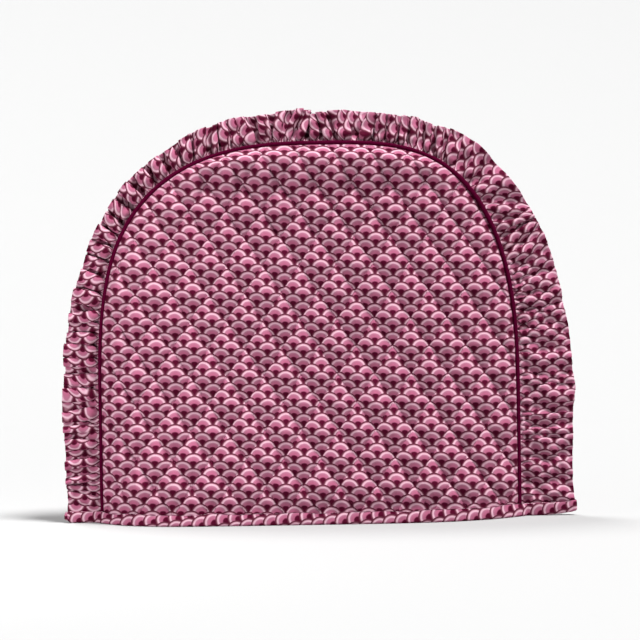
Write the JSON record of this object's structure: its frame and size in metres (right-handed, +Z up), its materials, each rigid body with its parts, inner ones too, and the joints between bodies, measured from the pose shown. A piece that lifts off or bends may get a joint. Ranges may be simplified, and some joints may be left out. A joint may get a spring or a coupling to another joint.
{
  "type": "tea cosy",
  "caption": "Domed quilted cloth tea cosy with a gathered frill and piping along its seam and a bound hem; hollow, open below, stands on its hem.",
  "frame": {"origin": "centre of the bounding box in X and Y, on the surface that the hem stands on", "axes": "+X across the cosy to the right as seen from its front, the front with the piping faces -Y, +Z up to the crown"},
  "size_m": [0.3603, 0.0792, 0.2874],
  "materials": {
    "scallop_cotton": "matte printed cotton",
    "frill_cotton": "matte printed cotton",
    "binding_cotton": "matte printed cotton, cut on the bias",
    "plum_cotton": "matte plain cotton"
  },
  "bodies": {
    "root": {"front_panel": "scallop_cotton", "back_panel": "scallop_cotton", "frill": "frill_cotton", "piping": "plum_cotton", "hem_binding": "binding_cotton"}
  },
  "joints": []
}
